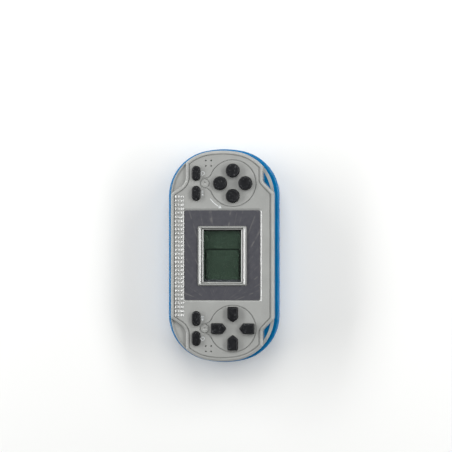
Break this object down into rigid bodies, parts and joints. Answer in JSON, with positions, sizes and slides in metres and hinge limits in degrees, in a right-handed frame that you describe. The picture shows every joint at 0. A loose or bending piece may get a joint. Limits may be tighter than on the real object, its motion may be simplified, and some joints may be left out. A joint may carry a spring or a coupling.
{
  "type": "handheld lcd game",
  "caption": "Pocket game with a small display, cross of arrow keys, diamond of round keys, strap loops and a battery bay with a snap door.",
  "frame": {"origin": "centre of the flat back, which the game lies on", "axes": "+X along the case towards the round keys, +Y towards the edge with the grip ribs, +Z out of the screen"},
  "size_m": [0.0842, 0.044, 0.0209],
  "materials": {
    "silver_abs": "fine satin moulding",
    "blue_abs": "polished moulding",
    "key_abs": "fine spark texture",
    "panel_film": "printed film",
    "clear_acrylic": "clear, polished",
    "display_glass": "thin polished glass",
    "display_film": "polarising film",
    "carbon_rubber": "conductive, matte",
    "silicone": "soft, matte",
    "foam": "closed cell",
    "circuit_board": "paper laminate",
    "epoxy": "cast blob",
    "chip_ceramic": "matte",
    "screw_steel": "zinc plated",
    "spring_steel": "nickel plated",
    "sounder_brass": "rolled",
    "sounder_ceramic": "fired, silvered",
    "wire_pvc": "extruded",
    "cell_can": "sleeved can"
  },
  "bodies": {
    "case": {"front_casing": "silver_abs", "rear_casing": "blue_abs", "casing_screws": "screw_steel", "board_screws": "screw_steel", "screen_panel": "panel_film", "screen_window": "clear_acrylic", "lcd_top_film": "display_film", "lcd_front_glass": "display_glass", "lcd_rear_glass": "display_glass", "lcd_reflector": "display_film", "lcd_zebra_strip": "carbon_rubber", "lcd_foam_pad": "foam", "main_board": "circuit_board", "chip_cover": "epoxy", "board_components": "chip_ceramic", "buzzer_disc": "sounder_brass", "buzzer_ceramic": "sounder_ceramic", "buzzer_wires": "wire_pvc", "battery_cell_far": "cell_can", "battery_cell_near": "cell_can", "cell_spring_contact": "spring_steel", "cell_plate_contact": "spring_steel", "cell_link_contact": "spring_steel", "keypad_membrane_left": "silicone", "keypad_membrane_right": "silicone"},
    "door": {"battery_door": "blue_abs", "battery_door_latch": "blue_abs"},
    "action_button_right_key": {"action_button_right": "key_abs", "action_pill_right": "carbon_rubber"},
    "action_button_left_key": {"action_button_left": "key_abs", "action_pill_left": "carbon_rubber"},
    "action_button_upper_key": {"action_button_upper": "key_abs", "action_pill_upper": "carbon_rubber"},
    "action_button_lower_key": {"action_button_lower": "key_abs", "action_pill_lower": "carbon_rubber"},
    "arrow_button_right_key": {"arrow_button_right": "key_abs", "arrow_pill_right": "carbon_rubber"},
    "arrow_button_left_key": {"arrow_button_left": "key_abs", "arrow_pill_left": "carbon_rubber"},
    "arrow_button_upper_key": {"arrow_button_upper": "key_abs", "arrow_pill_upper": "carbon_rubber"},
    "arrow_button_lower_key": {"arrow_button_lower": "key_abs", "arrow_pill_lower": "carbon_rubber"},
    "small_button_left_inner_key": {"small_button_left_inner": "key_abs", "small_pill_left_inner": "carbon_rubber"},
    "small_button_left_outer_key": {"small_button_left_outer": "key_abs", "small_pill_left_outer": "carbon_rubber"},
    "small_button_right_inner_key": {"small_button_right_inner": "key_abs", "small_pill_right_inner": "carbon_rubber"},
    "small_button_right_outer_key": {"small_button_right_outer": "key_abs", "small_pill_right_outer": "carbon_rubber"}
  },
  "joints": [
    {"name": "battery_door_hinge", "type": "hinge", "parent": "case", "child": "door", "pos_m": [-0.0251, 0, 0], "axis": [0, 1, 0], "range_deg": [0, 60], "deforming": ["battery_door_latch"]},
    {"name": "action_button_right_press", "type": "slide", "parent": "case", "child": "action_button_right_key", "axis": [0, 0, -1], "range_m": [0, 0.001], "stiffness_N_per_m": 400, "deforming": ["keypad_membrane_right"]},
    {"name": "action_button_left_press", "type": "slide", "parent": "case", "child": "action_button_left_key", "axis": [0, 0, -1], "range_m": [0, 0.001], "stiffness_N_per_m": 400, "deforming": ["keypad_membrane_right"]},
    {"name": "action_button_upper_press", "type": "slide", "parent": "case", "child": "action_button_upper_key", "axis": [0, 0, -1], "range_m": [0, 0.001], "stiffness_N_per_m": 400, "deforming": ["keypad_membrane_right"]},
    {"name": "action_button_lower_press", "type": "slide", "parent": "case", "child": "action_button_lower_key", "axis": [0, 0, -1], "range_m": [0, 0.001], "stiffness_N_per_m": 400, "deforming": ["keypad_membrane_right"]},
    {"name": "arrow_button_right_press", "type": "slide", "parent": "case", "child": "arrow_button_right_key", "axis": [0, 0, -1], "range_m": [0, 0.001], "stiffness_N_per_m": 400, "deforming": ["keypad_membrane_left"]},
    {"name": "arrow_button_left_press", "type": "slide", "parent": "case", "child": "arrow_button_left_key", "axis": [0, 0, -1], "range_m": [0, 0.001], "stiffness_N_per_m": 400, "deforming": ["keypad_membrane_left"]},
    {"name": "arrow_button_upper_press", "type": "slide", "parent": "case", "child": "arrow_button_upper_key", "axis": [0, 0, -1], "range_m": [0, 0.001], "stiffness_N_per_m": 400, "deforming": ["keypad_membrane_left"]},
    {"name": "arrow_button_lower_press", "type": "slide", "parent": "case", "child": "arrow_button_lower_key", "axis": [0, 0, -1], "range_m": [0, 0.001], "stiffness_N_per_m": 400, "deforming": ["keypad_membrane_left"]},
    {"name": "small_button_left_inner_press", "type": "slide", "parent": "case", "child": "small_button_left_inner_key", "axis": [0, 0, -1], "range_m": [0, 0.001], "stiffness_N_per_m": 400, "deforming": ["keypad_membrane_left"]},
    {"name": "small_button_left_outer_press", "type": "slide", "parent": "case", "child": "small_button_left_outer_key", "axis": [0, 0, -1], "range_m": [0, 0.001], "stiffness_N_per_m": 400, "deforming": ["keypad_membrane_left"]},
    {"name": "small_button_right_inner_press", "type": "slide", "parent": "case", "child": "small_button_right_inner_key", "axis": [0, 0, -1], "range_m": [0, 0.001], "stiffness_N_per_m": 400, "deforming": ["keypad_membrane_right"]},
    {"name": "small_button_right_outer_press", "type": "slide", "parent": "case", "child": "small_button_right_outer_key", "axis": [0, 0, -1], "range_m": [0, 0.001], "stiffness_N_per_m": 400, "deforming": ["keypad_membrane_right"]}
  ]
}
